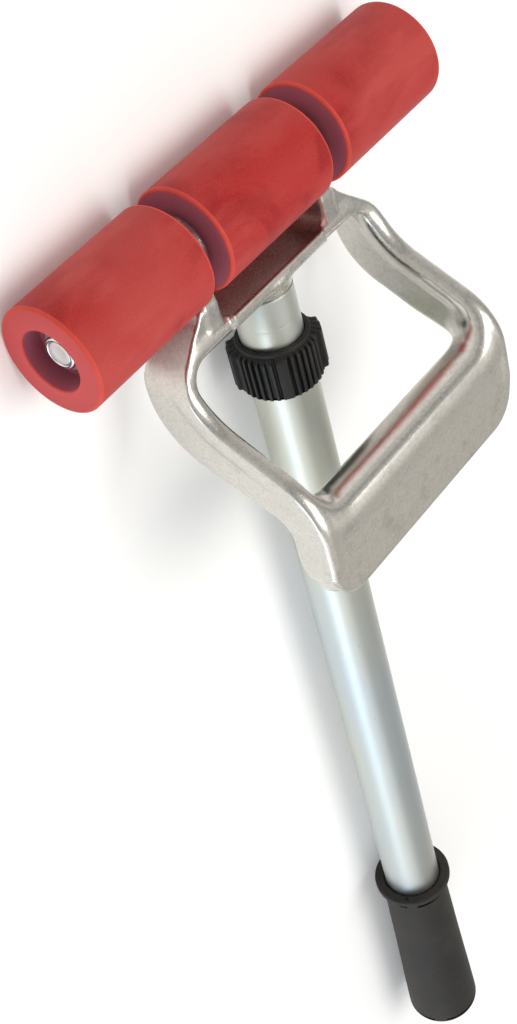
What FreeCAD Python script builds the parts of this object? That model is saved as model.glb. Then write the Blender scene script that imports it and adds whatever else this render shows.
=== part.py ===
import FreeCAD, Part
import math
import os
import Sketcher
from FreeCAD import Placement, Rotation, Vector

# Extendable floor roller: three rubber rollers on one axle, a cast head with a stirrup handle,
# a telescopic tube with a twist lock, and a moulded grip.
#
# Frame: the origin is on the floor under the middle of the axle, X runs along the axle, +Y runs
# from the rollers to the grip and +Z is up. The axle and the tube lie in one level plane, one
# roller radius above the floor. Everything is in millimetres.

DIMENSIONS = {
    # rollers, their bushes and the axle
    "roller_dia": 44.45,
    "roller_length": 63.5,
    "roller_gap": 9.75,
    "roller_edge": 1.4,
    "recess_dia": 25.4,
    "recess_depth": 9.5,
    "bush_dia": 16.0,
    "bush_length": 18.0,
    "bush_flange_dia": 19.5,
    "bush_flange_thick": 1.2,
    "axle_dia": 9.525,
    "axle_edge": 0.6,
    "axle_setback": 0.35,
    "running_clear": 0.06,
    "side_clear": 0.15,
    "thrust_washer_dia": 20.0,
    "thrust_washer_thick": 1.1,
    "end_washer_dia": 17.5,
    "end_washer_thick": 0.8,
    "ring_wall": 2.05,
    "ring_thick": 3.0,
    "ring_edge": 0.9,
    "ring_groove_width": 0.8,
    "ring_groove_depth": 1.2,
    # cast head: yoke, arm heads and spigot
    "arm_head_dia": 26.5,
    "yoke_front": 22.0,
    "yoke_wall": 4.8,
    "yoke_back": 39.5,
    "yoke_top": 10.5,
    "yoke_bottom": 9.3,
    "roller_pocket_radius": 34.7,
    "pocket_corner": 5.0,
    "pad_half_width": 29.5,
    "pad_top": 12.3,
    "boss_back": 42.3,
    "spigot_length": 30.0,
    # stirrup handle
    "loop_half_width": 64.0,
    "loop_wall": 8.0,
    "loop_sweep": 60.0,
    "rim_start": 32.8,
    "rim_arc": 34.0,
    "rim_crown_arc": 30.0,
    "under_sweep": 65.0,
    "under_start": 50.4,
    "under_arc": 34.0,
    "under_crown_arc": 12.0,
    "bar_top": 64.5,
    "bar_bottom": 47.5,
    "bar_front": 93.5,
    "bar_back": 135.0,
    "bar_nose": 3.0,
    "bar_corner": 17.0,
    "opening_front_corner": 10.0,
    "opening_back_corner": 13.0,
    "shoulder_start": 23.0,
    "shoulder_slope": 43.0,
    "shoulder_arc": 24.0,
    # telescopic tube
    "inner_tube_dia": 25.8,
    "inner_tube_wall": 1.0,
    "inner_tube_length": 407.0,
    "outer_tube_dia": 28.0,
    "outer_tube_wall": 0.75,
    "outer_tube_start": 75.0,
    "outer_tube_end": 536.0,
    "guide_clear": 0.1,
    "guide_plug_length": 12.0,
    "guide_flange_length": 14.0,
    "guide_bore": 12.0,
    # twist lock
    "sleeve_start": 68.0,
    "sleeve_length": 18.0,
    "sleeve_wall": 1.1,
    "sleeve_slot": 2.0,
    "collar_clear": 0.3,
    "collar_start": 64.5,
    "collar_length": 22.0,
    "collar_dia": 34.6,
    "collar_lip_dia": 30.6,
    "collar_lip_length": 1.8,
    "wing_radius": 19.3,
    "wing_width": 15.0,
    "wing_length": 19.5,
    "wing_angle": 43.0,
    # grip
    "grip_start": 424.0,
    "grip_end": 540.0,
    "grip_flange_dia": 39.0,
    "grip_flange_thick": 3.2,
    "grip_flange_edge": 0.6,
    "grip_front_dia": 32.4,
    "grip_end_dia": 37.4,
    "grip_end_edge": 6.0,
    "grip_slot_width": 1.0,
    "grip_slot_depth": 1.2,
    "grip_slot_bridge": 40.0,
    "grip_turn": -137.0,
}

doc = FreeCAD.newDocument("floor_roller")
sheet = doc.addObject("Spreadsheet::Sheet", "Dims")
for row, (word, size) in enumerate(DIMENSIONS.items(), start=1):
    sheet.set(f"A{row}", word)
    sheet.set(f"B{row}", str(size))
    sheet.setAlias(f"B{row}", word)
doc.recompute()

AXLE_HEIGHT = "Dims.roller_dia / 2"
HALF_CENTRE = "Dims.roller_length / 2"
SIDE_START = f"({HALF_CENTRE} + Dims.roller_gap)"
SIDE_END = f"({SIDE_START} + Dims.roller_length)"
RECESS_FLOOR = f"({SIDE_END} - Dims.recess_depth)"
ARM_INNER = f"({HALF_CENTRE} + Dims.side_clear + Dims.thrust_washer_thick)"
ARM_OUTER = f"({SIDE_START} - Dims.side_clear - Dims.thrust_washer_thick)"
RING_START = (f"({RECESS_FLOOR} + Dims.bush_flange_thick + Dims.side_clear"
              " + Dims.end_washer_thick)")
RING_END = f"({RING_START} + Dims.ring_thick)"
RING_RADIUS = "Dims.axle_dia / 2 + Dims.ring_wall"
INNER_TUBE_BORE = "(Dims.inner_tube_dia / 2 - Dims.inner_tube_wall)"
OUTER_TUBE_BORE = "(Dims.outer_tube_dia / 2 - Dims.outer_tube_wall)"

parts = {}


def value(text):
    """The number that an expression on the sheet comes to."""
    result = sheet.evalExpression(text)
    return float(getattr(result, "Value", result))


def bind(obj, **sizes):
    """Ties properties of an object to expressions on the sheet."""
    for name, text in sizes.items():
        obj.setExpression(name, text)


# --- round pieces: stacks of cylinders along one axis --------------------------------------------

AXES = {
    "x": Rotation(Vector(0, 0, 1), Vector(1, 0, 0)),
    "y": Rotation(Vector(0, 0, 1), Vector(0, 1, 0)),
}


def rod(name, axis, start, length, radius):
    """A cylinder whose axis is the axle (x) or the tube (y), from start along +X or +Y."""
    piece = doc.addObject("Part::Cylinder", name)
    bind(piece, Radius=radius, Height=length)
    piece.Placement = Placement(Vector(0, 0, value(AXLE_HEIGHT)), AXES[axis])
    bind(piece, **{f"Placement.Base.{axis}": start, "Placement.Base.z": AXLE_HEIGHT})
    return piece


def fuse(name, shapes):
    joined = doc.addObject("Part::MultiFuse", name)
    joined.Shapes = shapes
    joined.Refine = True
    return joined


def cut(name, base, tool):
    result = doc.addObject("Part::Cut", name)
    result.Base = base
    result.Tool = tool
    return result


def circles_at(shape, axis, place, radius):
    """The numbers of the circular edges of a shape that have this place and radius."""
    found = []
    for number, edge in enumerate(shape.Edges, start=1):
        curve = edge.Curve
        if not isinstance(curve, Part.Circle):
            continue
        centre = getattr(curve.Center, axis)
        if abs(centre - place) < 1e-4 and abs(curve.Radius - radius) < 1e-4:
            found.append(number)
    return found


def soften(name, base, kind, size, axis, rims):
    """Fillets or chamfers the circular rims (place, radius) of a round piece."""
    doc.recompute()
    result = doc.addObject(f"Part::{kind}", name)
    result.Base = base
    amount = value(size)
    numbers = []
    for place, radius in rims:
        numbers += circles_at(base.Shape, axis, value(place), value(radius))
    result.Edges = [(number, amount, amount) for number in numbers]
    return result


def keep(node, obj):
    """Names an object as a finished sub-part."""
    obj.Label = node
    parts[node] = obj
    return obj


# --- sketches whose corners and radii are bound to the sheet --------------------------------------

def plane_of(body, role):
    for feature in body.Origin.OriginFeatures:
        if feature.Role == role:
            return feature
    raise ValueError(role)


def tie(sketch, kind, where, text):
    """Adds one distance or radius constraint and binds it to an expression."""
    number = sketch.addConstraint(Sketcher.Constraint(kind, *where, value(text)))
    name = f"size{number}"
    sketch.renameConstraint(number, name)
    sketch.setExpression(f"Constraints.{name}", text)


def draw(body, name, role, loops, offset="0"):
    """A closed sketch. Each loop is a list of (x, y, bend): the stretch that starts at that corner
    is straight when bend is None, otherwise an arc (radius, +1 for a left turn or -1)."""
    sketch = body.newObject("Sketcher::SketchObject", name)
    sketch.AttachmentSupport = [(plane_of(body, role), "")]
    sketch.MapMode = "FlatFace"
    sketch.setExpression("AttachmentOffset.Base.z", offset)
    for loop in loops:
        corners = [Vector(value(x), value(y), 0) for x, y, bend in loop]
        edges = []
        for place, (x, y, bend) in enumerate(loop):
            start = corners[place]
            end = corners[(place + 1) % len(loop)]
            if bend is None:
                edges.append((sketch.addGeometry(Part.LineSegment(start, end)), 1, 2))
                continue
            radius, turn = value(bend[0]), bend[1]
            chord = end - start
            side = Vector(-chord.y, chord.x, 0).normalize() * turn
            rise = math.sqrt(max(radius ** 2 - (chord.Length / 2) ** 2, 0))
            centre = (start + end) * 0.5 + side * rise
            crown = centre - side * radius
            arc = sketch.addGeometry(Part.Arc(start, crown, end))
            edges.append((arc, 1, 2) if turn > 0 else (arc, 2, 1))
        for place, (x, y, bend) in enumerate(loop):
            edge, first, last = edges[place]
            before, _, before_last = edges[place - 1]
            sketch.addConstraint(Sketcher.Constraint("Coincident", before, before_last, edge, first))
            tie(sketch, "DistanceX", (-1, 1, edge, first), x)
            tie(sketch, "DistanceY", (-1, 1, edge, first), y)
            if bend is not None:
                tie(sketch, "Radius", (edge,), bend[0])
    doc.recompute()
    return sketch


def draw_circle(body, name, role, radius, offset="0"):
    """A circle about the origin of the body."""
    sketch = draw(body, name, role, [], offset)
    circle = sketch.addGeometry(Part.Circle(Vector(0, 0, 0), Vector(0, 0, 1), value(radius)))
    sketch.addConstraint(Sketcher.Constraint("Coincident", circle, 3, -1, 1))
    tie(sketch, "Radius", (circle,), radius)
    doc.recompute()
    return sketch


def box_loop(x0, y0, x1, y1):
    return [(x0, y0, None), (x1, y0, None), (x1, y1, None), (x0, y1, None)]


def body_of(name):
    body = doc.addObject("PartDesign::Body", name)
    bind(body, **{"Placement.Base.z": AXLE_HEIGHT})
    return body


def pad(body, name, sketch, length, middle=False, flip=False):
    feature = body.newObject("PartDesign::Pad", name)
    feature.Profile = sketch
    bind(feature, Length=length)
    feature.Midplane = middle
    feature.Reversed = flip
    doc.recompute()
    return feature


def pocket(body, name, sketch, length, middle=True):
    """Cuts a sketch out of the body, half of the length to each side of its plane."""
    before = body.Shape.Volume
    feature = body.newObject("PartDesign::Pocket", name)
    feature.Profile = sketch
    bind(feature, Length=length)
    feature.Midplane = middle
    doc.recompute()
    if body.Shape.Volume >= before:
        raise RuntimeError(f"{name} cuts nothing")
    return feature


def turned(body, name, sketch, axis, kind="Revolution", angle="360"):
    feature = body.newObject(f"PartDesign::{kind}", name)
    feature.Profile = sketch
    feature.ReferenceAxis = (plane_of(body, axis), [""])
    bind(feature, Angle=angle)
    doc.recompute()
    return feature


# --- rollers and what turns with them --------------------------------------------------------------

def roller(node, start, recess):
    """A rubber roller with a bore for its bushes. recess is -1 or +1 for the end that holds the
    axle fastening, or 0 for the middle roller."""
    radius = "Dims.roller_dia / 2"
    solid = rod(f"{node}_solid", "x", start, "Dims.roller_length", radius)
    hollow = [rod(f"{node}_bore", "x", start, "Dims.roller_length", "Dims.bush_dia / 2")]
    if recess:
        floor = start if recess < 0 else f"({start} + Dims.roller_length - Dims.recess_depth)"
        hollow.append(rod(f"{node}_recess", "x", floor, "Dims.recess_depth", "Dims.recess_dia / 2"))
    tool = fuse(f"{node}_hollow", hollow) if recess else hollow[0]
    plain = cut(f"{node}_plain", solid, tool)
    rims = [(start, radius), (f"({start} + Dims.roller_length)", radius)]
    keep(node, soften(node, plain, "Fillet", "Dims.roller_edge", "x", rims))


def bush(node, start, flange_at=None):
    """A plain nylon bush that fills the roller's bore, with a flange on a recess floor."""
    if flange_at is None:
        solid = rod(f"{node}_solid", "x", start, "Dims.bush_length", "Dims.bush_dia / 2")
        tool = rod(f"{node}_bore", "x", start, "Dims.bush_length", BUSH_BORE)
        keep(node, cut(node, solid, tool))
        return
    outer = [rod(f"{node}_solid", "x", start, "Dims.bush_length", "Dims.bush_dia / 2"),
             rod(f"{node}_flange", "x", flange_at, "Dims.bush_flange_thick",
                 "Dims.bush_flange_dia / 2")]
    low = flange_at if value(flange_at) < 0 else start
    tool = rod(f"{node}_bore", "x", low, "Dims.bush_length + Dims.bush_flange_thick", BUSH_BORE)
    keep(node, cut(node, fuse(f"{node}_outer", outer), tool))


def washer(node, start, thickness, diameter, bore):
    solid = rod(f"{node}_solid", "x", start, thickness, f"{diameter} / 2")
    tool = rod(f"{node}_bore", "x", start, thickness, bore)
    keep(node, cut(node, solid, tool))


def retaining_ring(node, side):
    """A pressed ring on the axle's end, with a rolled rim and a groove round the axle."""
    start = RING_START if side > 0 else f"(-{RING_END})"
    groove_at = (f"({RING_END} - Dims.ring_groove_depth)" if side > 0 else f"(-{RING_END})")
    solid = rod(f"{node}_solid", "x", start, "Dims.ring_thick", RING_RADIUS)
    bore = rod(f"{node}_bore", "x", start, "Dims.ring_thick", "Dims.axle_dia / 2")
    groove = rod(f"{node}_groove", "x", groove_at, "Dims.ring_groove_depth",
                 "Dims.axle_dia / 2 + Dims.ring_groove_width")
    plain = cut(f"{node}_plain", solid, fuse(f"{node}_hollow", [bore, groove]))
    rim = RING_END if side > 0 else f"(-{RING_END})"
    keep(node, soften(node, plain, "Fillet", "Dims.ring_edge", "x", [(rim, RING_RADIUS)]))


BUSH_BORE = "Dims.axle_dia / 2 + Dims.running_clear"

roller("roller_centre", f"(-{HALF_CENTRE})", 0)
roller("roller_right", SIDE_START, +1)
roller("roller_left", f"(-{SIDE_END})", -1)

bush("bush_centre_right", f"({HALF_CENTRE} - Dims.bush_length)")
bush("bush_centre_left", f"(-{HALF_CENTRE})")
bush("bush_right_inner", SIDE_START)
bush("bush_left_inner", f"(-{SIDE_START} - Dims.bush_length)")
bush("bush_right_outer", f"({RECESS_FLOOR} - Dims.bush_length)", RECESS_FLOOR)
bush("bush_left_outer", f"(-{RECESS_FLOOR})",
     f"(-{RECESS_FLOOR} - Dims.bush_flange_thick)")

for side, sign in (("right", 1), ("left", -1)):
    inner = f"({HALF_CENTRE} + Dims.side_clear)"
    outer = ARM_OUTER
    if sign < 0:
        inner = f"(-{inner} - Dims.thrust_washer_thick)"
        outer = f"(-{outer} - Dims.thrust_washer_thick)"
    bore = "Dims.axle_dia / 2"
    washer(f"thrust_washer_{side}_inner", inner, "Dims.thrust_washer_thick",
           "Dims.thrust_washer_dia", bore)
    washer(f"thrust_washer_{side}_outer", outer, "Dims.thrust_washer_thick",
           "Dims.thrust_washer_dia", bore)
    seat = f"({RING_START} - Dims.end_washer_thick)" if sign > 0 else f"(-{RING_START})"
    washer(f"end_washer_{side}", seat, "Dims.end_washer_thick", "Dims.end_washer_dia", bore)
    retaining_ring(f"retaining_ring_{side}", sign)

axle_end = f"({RING_END} - Dims.axle_setback)"
axle_rod = rod("axle_rod", "x", f"(-{axle_end})", f"2 * {axle_end}", "Dims.axle_dia / 2")
axle_rims = [(axle_end, "Dims.axle_dia / 2"), (f"(-{axle_end})", "Dims.axle_dia / 2")]
keep("axle", soften("axle", axle_rod, "Chamfer", "Dims.axle_edge", "x", axle_rims))

# --- cast head: yoke, arm heads, spigot and stirrup handle in one casting -------------------------

RISE = "(1 - cos(Dims.loop_sweep))"
UNDER_RISE = "(1 - cos(Dims.under_sweep))"
RIM_LOW_Y = "(Dims.rim_start + Dims.rim_arc * sin(Dims.loop_sweep))"
RIM_LOW_Z = f"(Dims.yoke_top + Dims.rim_arc * {RISE})"
RIM_HIGH_Z = f"(Dims.bar_top - Dims.rim_crown_arc * {RISE})"
RIM_HIGH_Y = f"({RIM_LOW_Y} + ({RIM_HIGH_Z} - {RIM_LOW_Z}) / tan(Dims.loop_sweep))"
RIM_FLAT_Y = f"({RIM_HIGH_Y} + Dims.rim_crown_arc * sin(Dims.loop_sweep))"
UNDER_LOW_Y = "(Dims.under_start + Dims.under_arc * sin(Dims.under_sweep))"
UNDER_LOW_Z = f"(-Dims.yoke_bottom + Dims.under_arc * {UNDER_RISE})"
UNDER_HIGH_Z = f"(Dims.bar_bottom - Dims.under_crown_arc * {UNDER_RISE})"
UNDER_HIGH_Y = f"({UNDER_LOW_Y} + ({UNDER_HIGH_Z} - {UNDER_LOW_Z}) / tan(Dims.under_sweep))"
UNDER_FLAT_Y = f"({UNDER_HIGH_Y} + Dims.under_crown_arc * sin(Dims.under_sweep))"
NOSE_Z = "(Dims.bar_top - Dims.bar_nose)"
TAIL_RISE = f"({NOSE_Z} - Dims.bar_bottom)"
TAIL_RUN = f"(Dims.bar_back - {UNDER_FLAT_Y})"
TAIL_ARC = f"(({TAIL_RUN} ^ 2 + {TAIL_RISE} ^ 2) / (2 * {TAIL_RISE}))"
SHOULDER_X = ("(Dims.loop_half_width - Dims.shoulder_arc"
              " + Dims.shoulder_arc * sin(Dims.shoulder_slope))")
SHOULDER_Y = (f"(Dims.shoulder_start + ({SHOULDER_X} - {ARM_OUTER})"
              " * tan(Dims.shoulder_slope))")
SHOULDER_END = f"({SHOULDER_Y} + Dims.shoulder_arc * cos(Dims.shoulder_slope))"
LOOP_INSIDE = "(Dims.loop_half_width - Dims.loop_wall)"
MARGIN = "20"

casting = body_of("head_casting")

side_profile = draw(casting, "side_profile", "YZ_Plane", [[
    ("Dims.yoke_front", "-Dims.yoke_bottom", None),
    ("Dims.under_start", "-Dims.yoke_bottom", ("Dims.under_arc", 1)),
    (UNDER_LOW_Y, UNDER_LOW_Z, None),
    (UNDER_HIGH_Y, UNDER_HIGH_Z, ("Dims.under_crown_arc", -1)),
    (UNDER_FLAT_Y, "Dims.bar_bottom", (TAIL_ARC, 1)),
    ("Dims.bar_back", NOSE_Z, None),
    ("Dims.bar_back", "Dims.bar_top", None),
    (RIM_FLAT_Y, "Dims.bar_top", ("Dims.rim_crown_arc", 1)),
    (RIM_HIGH_Y, RIM_HIGH_Z, None),
    (RIM_LOW_Y, RIM_LOW_Z, ("Dims.rim_arc", -1)),
    ("Dims.rim_start", "Dims.yoke_top", None),
    ("Dims.yoke_front", "Dims.yoke_top", None),
]])
pad(casting, "side_slab", side_profile, "2 * Dims.loop_half_width", middle=True)

pad_profile = draw(casting, "boss_pad_profile", "YZ_Plane", [
    box_loop("Dims.yoke_back - Dims.yoke_wall - 3", "0", "Dims.yoke_back", "Dims.pad_top")])
pad(casting, "boss_pad", pad_profile, "2 * Dims.pad_half_width", middle=True)

corner_x = "(Dims.loop_half_width - Dims.bar_corner)"
corner_y = "(Dims.bar_back - Dims.bar_corner)"
far_x = f"(Dims.loop_half_width + {MARGIN})"
far_y = f"(Dims.bar_back + {MARGIN})"
for side, sign, turn in (("right", "", 1), ("left", "-", -1)):
    outline = draw(casting, f"bar_corner_{side}_profile", "XY_Plane", [[
        (f"{sign}Dims.loop_half_width", corner_y, ("Dims.bar_corner", turn)),
        (f"{sign}{corner_x}", "Dims.bar_back", None),
        (f"{sign}{corner_x}", far_y, None),
        (f"{sign}{far_x}", far_y, None),
        (f"{sign}{far_x}", corner_y, None),
    ]])
    pocket(casting, f"bar_corner_{side}", outline, "4 * Dims.bar_top")

front_x = f"({LOOP_INSIDE} - Dims.opening_front_corner)"
front_y = "(Dims.yoke_back + Dims.opening_front_corner)"
back_x = f"({LOOP_INSIDE} - Dims.opening_back_corner)"
back_y = "(Dims.bar_front - Dims.opening_back_corner)"
opening = draw(casting, "opening_profile", "XY_Plane", [[
    (f"-{front_x}", "Dims.yoke_back", None),
    (front_x, "Dims.yoke_back", ("Dims.opening_front_corner", 1)),
    (LOOP_INSIDE, front_y, None),
    (LOOP_INSIDE, back_y, ("Dims.opening_back_corner", 1)),
    (back_x, "Dims.bar_front", None),
    (f"-{back_x}", "Dims.bar_front", ("Dims.opening_back_corner", 1)),
    (f"-{LOOP_INSIDE}", back_y, None),
    (f"-{LOOP_INSIDE}", front_y, ("Dims.opening_front_corner", 1)),
]])
pocket(casting, "hand_opening", opening, "4 * Dims.bar_top")

under_bar = draw(casting, "under_bar_profile", "YZ_Plane", [
    box_loop(f"Dims.bar_front - {MARGIN}", f"Dims.bar_bottom - {MARGIN}",
             UNDER_FLAT_Y, "Dims.bar_bottom")])
pocket(casting, "under_bar", under_bar, f"2 * {LOOP_INSIDE}")

pocket_x = f"({ARM_INNER} - Dims.pocket_corner)"
pocket_y = "(Dims.roller_pocket_radius - Dims.pocket_corner)"
middle = draw(casting, "middle_pocket_profile", "XY_Plane", [[
    (f"-{ARM_INNER}", "1", None),
    (ARM_INNER, "1", None),
    (ARM_INNER, pocket_y, ("Dims.pocket_corner", 1)),
    (pocket_x, "Dims.roller_pocket_radius", None),
    (f"-{pocket_x}", "Dims.roller_pocket_radius", ("Dims.pocket_corner", 1)),
    (f"-{ARM_INNER}", pocket_y, None),
]])
turned(casting, "middle_pocket", middle, "X_Axis", kind="Groove")

for side, sign, turn in (("right", "", -1), ("left", "-", 1)):
    shoulder = draw(casting, f"shoulder_{side}_profile", "XY_Plane", [[
        (f"{sign}{ARM_OUTER}", "1", None),
        (f"{sign}{ARM_OUTER}", "Dims.shoulder_start", None),
        (f"{sign}{SHOULDER_X}", SHOULDER_Y, ("Dims.shoulder_arc", -turn)),
        (f"{sign}Dims.loop_half_width", SHOULDER_END, None),
        (f"{sign}{far_x}", SHOULDER_END, None),
        (f"{sign}{far_x}", "1", None),
    ]])
    turned(casting, f"shoulder_{side}", shoulder, "X_Axis", kind="Groove")

for side, start in (("right", ARM_INNER), ("left", f"(-{ARM_OUTER})")):
    neck = draw(casting, f"arm_neck_{side}_profile", "YZ_Plane", [
        box_loop("0", "-Dims.yoke_bottom", "Dims.yoke_back - Dims.yoke_wall", "Dims.yoke_top")],
        offset=start)
    pad(casting, f"arm_neck_{side}", neck, f"{ARM_OUTER} - {ARM_INNER}")
    head = draw_circle(casting, f"arm_head_{side}_profile", "YZ_Plane", "Dims.arm_head_dia / 2",
                       offset=start)
    pad(casting, f"arm_head_{side}", head, f"{ARM_OUTER} - {ARM_INNER}")

spigot = draw(casting, "spigot_profile", "YZ_Plane", [[
    ("Dims.yoke_back - 1", "0", None),
    ("Dims.boss_back + Dims.spigot_length", "0", None),
    ("Dims.boss_back + Dims.spigot_length", INNER_TUBE_BORE, None),
    ("Dims.boss_back", INNER_TUBE_BORE, None),
    ("Dims.boss_back", "Dims.inner_tube_dia / 2", None),
    ("Dims.yoke_back - 1", "Dims.inner_tube_dia / 2", None),
]])
turned(casting, "spigot", spigot, "Y_Axis")

axle_hole = draw_circle(casting, "axle_hole_profile", "YZ_Plane", "Dims.axle_dia / 2")
pocket(casting, "axle_hole", axle_hole, f"4 * {ARM_OUTER}")
keep("head_casting", casting)

# --- telescopic tube ---------------------------------------------------------------------------------

tube_solid = rod("inner_tube_solid", "y", "Dims.boss_back", "Dims.inner_tube_length",
                 "Dims.inner_tube_dia / 2")
tube_bore = rod("inner_tube_bore", "y", "Dims.boss_back", "Dims.inner_tube_length",
                INNER_TUBE_BORE)
keep("inner_tube", cut("inner_tube", tube_solid, tube_bore))

INNER_TUBE_END = "(Dims.boss_back + Dims.inner_tube_length)"
GUIDE_RADIUS = f"{OUTER_TUBE_BORE} - Dims.guide_clear"
plug = rod("guide_plug", "y", f"{INNER_TUBE_END} - Dims.guide_plug_length",
           "Dims.guide_plug_length", INNER_TUBE_BORE)
flange = rod("guide_flange", "y", INNER_TUBE_END, "Dims.guide_flange_length", GUIDE_RADIUS)
guide_bore = rod("guide_bore", "y", f"{INNER_TUBE_END} - Dims.guide_plug_length",
                 "Dims.guide_plug_length + Dims.guide_flange_length", "Dims.guide_bore / 2")
keep("tube_guide", cut("tube_guide", fuse("guide_outer", [plug, flange]), guide_bore))

outer_length = "Dims.outer_tube_end - Dims.outer_tube_start"
outer_solid = rod("outer_tube_solid", "y", "Dims.outer_tube_start", outer_length,
                  "Dims.outer_tube_dia / 2")
outer_bore = rod("outer_tube_bore", "y", "Dims.outer_tube_start", outer_length, OUTER_TUBE_BORE)
keep("outer_tube", cut("outer_tube", outer_solid, outer_bore))

# --- twist lock: a split sleeve on the outer tube's mouth, and the collar that squeezes it ---------

SLEEVE_RADIUS = "(Dims.outer_tube_dia / 2 + Dims.sleeve_wall)"
SLEEVE_END = "(Dims.sleeve_start + Dims.sleeve_length)"
COLLAR_BORE = f"({SLEEVE_RADIUS} + Dims.collar_clear)"

sleeve_solid = rod("sleeve_solid", "y", "Dims.sleeve_start", "Dims.sleeve_length", SLEEVE_RADIUS)
sleeve_hollow = [
    rod("sleeve_mouth", "y", "Dims.sleeve_start", "Dims.sleeve_length",
        "Dims.inner_tube_dia / 2 + Dims.guide_clear"),
    rod("sleeve_seat", "y", "Dims.outer_tube_start", f"{SLEEVE_END} - Dims.outer_tube_start",
        "Dims.outer_tube_dia / 2"),
]
slot_span = f"(2 * {SLEEVE_RADIUS} + 2)"
for word, across, tall in (("level", slot_span, "Dims.sleeve_slot"),
                           ("upright", "Dims.sleeve_slot", slot_span)):
    slot = doc.addObject("Part::Box", f"sleeve_slot_{word}")
    bind(slot, Length=across, Height=tall,
         Width="Dims.outer_tube_start - Dims.sleeve_start - 1")
    bind(slot, **{"Placement.Base.x": f"-({across}) / 2",
                  "Placement.Base.y": "Dims.sleeve_start",
                  "Placement.Base.z": f"{AXLE_HEIGHT} - ({tall}) / 2"})
    sleeve_hollow.append(slot)
keep("lock_sleeve", cut("lock_sleeve", sleeve_solid, fuse("sleeve_hollow", sleeve_hollow)))

collar_end = "(Dims.collar_start + Dims.collar_length)"
collar_shell = [
    rod("collar_lip", "y", "Dims.collar_start", "Dims.collar_length", "Dims.collar_lip_dia / 2"),
    rod("collar_ring", "y", "Dims.collar_start + Dims.collar_lip_length",
        "Dims.collar_length - Dims.collar_lip_length", "Dims.collar_dia / 2"),
]
wing_bar = doc.addObject("Part::Box", "collar_wing_bar")
bind(wing_bar, Length="2 * Dims.wing_radius + 2", Width="Dims.wing_length",
     Height="Dims.wing_width")
wing_turn = Rotation(Vector(0, 1, 0), value("Dims.wing_angle"))
wing_corner = Vector(-value("Dims.wing_radius") - 1, 0, -value("Dims.wing_width / 2"))
wing_centre = Vector(0, value("Dims.collar_start + Dims.collar_lip_length"), value(AXLE_HEIGHT))
wing_bar.Placement = Placement(wing_centre + wing_turn.multVec(wing_corner), wing_turn)
wing_limit = rod("collar_wing_limit", "y", "Dims.collar_start + Dims.collar_lip_length",
                 "Dims.wing_length", "Dims.wing_radius")
wings = doc.addObject("Part::Common", "collar_wings")
wings.Base = wing_bar
wings.Tool = wing_limit
collar_hollow = [
    rod("collar_mouth", "y", "Dims.collar_start", "Dims.collar_length",
        "Dims.inner_tube_dia / 2 + Dims.collar_clear"),
    rod("collar_bore", "y", "Dims.sleeve_start - Dims.collar_clear",
        f"{collar_end} - Dims.sleeve_start + Dims.collar_clear", COLLAR_BORE),
]
keep("lock_collar", cut("lock_collar", fuse("collar_shell", collar_shell + [wings]),
                        fuse("collar_hollow", collar_hollow)))

# --- grip: a tapered moulding with a flange, pressed over the closed end of the outer tube --------

grip = body_of("grip")
grip.Placement.Rotation = Rotation(Vector(0, 1, 0), value("Dims.grip_turn"))
FLANGE_BACK = "(Dims.grip_start + Dims.grip_flange_thick)"
FLANGE_BEVEL = "(Dims.grip_flange_dia / 2 - Dims.grip_flange_edge)"
grip_profile = draw(grip, "grip_profile", "YZ_Plane", [[
    ("Dims.grip_end", "0", None),
    ("Dims.grip_end", "Dims.grip_end_dia / 2 - Dims.grip_end_edge", ("Dims.grip_end_edge", 1)),
    ("Dims.grip_end - Dims.grip_end_edge", "Dims.grip_end_dia / 2", None),
    (FLANGE_BACK, "Dims.grip_front_dia / 2", None),
    (FLANGE_BACK, FLANGE_BEVEL, None),
    (f"{FLANGE_BACK} - Dims.grip_flange_edge", "Dims.grip_flange_dia / 2", None),
    ("Dims.grip_start + Dims.grip_flange_edge", "Dims.grip_flange_dia / 2", None),
    ("Dims.grip_start", FLANGE_BEVEL, None),
    ("Dims.grip_start", "Dims.outer_tube_dia / 2", None),
    ("Dims.outer_tube_end", "Dims.outer_tube_dia / 2", None),
    ("Dims.outer_tube_end", "0", None),
]])
turned(grip, "grip_moulding", grip_profile, "Y_Axis")
slot_profile = draw(grip, "grip_slot_profile", "YZ_Plane", [
    box_loop(FLANGE_BACK, "Dims.grip_front_dia / 2 - Dims.grip_slot_depth",
             f"{FLANGE_BACK} + Dims.grip_slot_width", "Dims.grip_front_dia / 2 + 1")])
grip_slot = turned(grip, "grip_slot", slot_profile, "Y_Axis", kind="Groove",
                   angle="360 - Dims.grip_slot_bridge")
grip_slot.Midplane = True
keep("grip", grip)

# --- checks and files --------------------------------------------------------------------------------

doc.recompute()
for obj in doc.Objects:
    if "Invalid" in obj.State or "Error" in obj.State:
        raise RuntimeError(f"{obj.Name} failed: {obj.State}")
for node, obj in parts.items():
    shape = obj.Shape
    if shape.isNull() or not shape.isValid() or len(shape.Solids) != 1:
        raise RuntimeError(f"{node} is not one valid solid")

os.makedirs("parts", exist_ok=True)
for node, obj in parts.items():
    obj.Shape.exportStep(f"parts/{node}.step")
    print(f"{node:28s} {obj.Shape.Volume / 1000:8.2f} cm3")
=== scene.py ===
"""Looks for the extendable floor roller: rubber rollers, a cast head, plated tubes, a twist-lock
collar and a moulded grip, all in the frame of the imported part."""

import math

import bpy
import numpy as np
from bpy.props import FloatProperty, FloatVectorProperty, IntProperty, PointerProperty
from mathutils import Matrix, Vector


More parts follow.
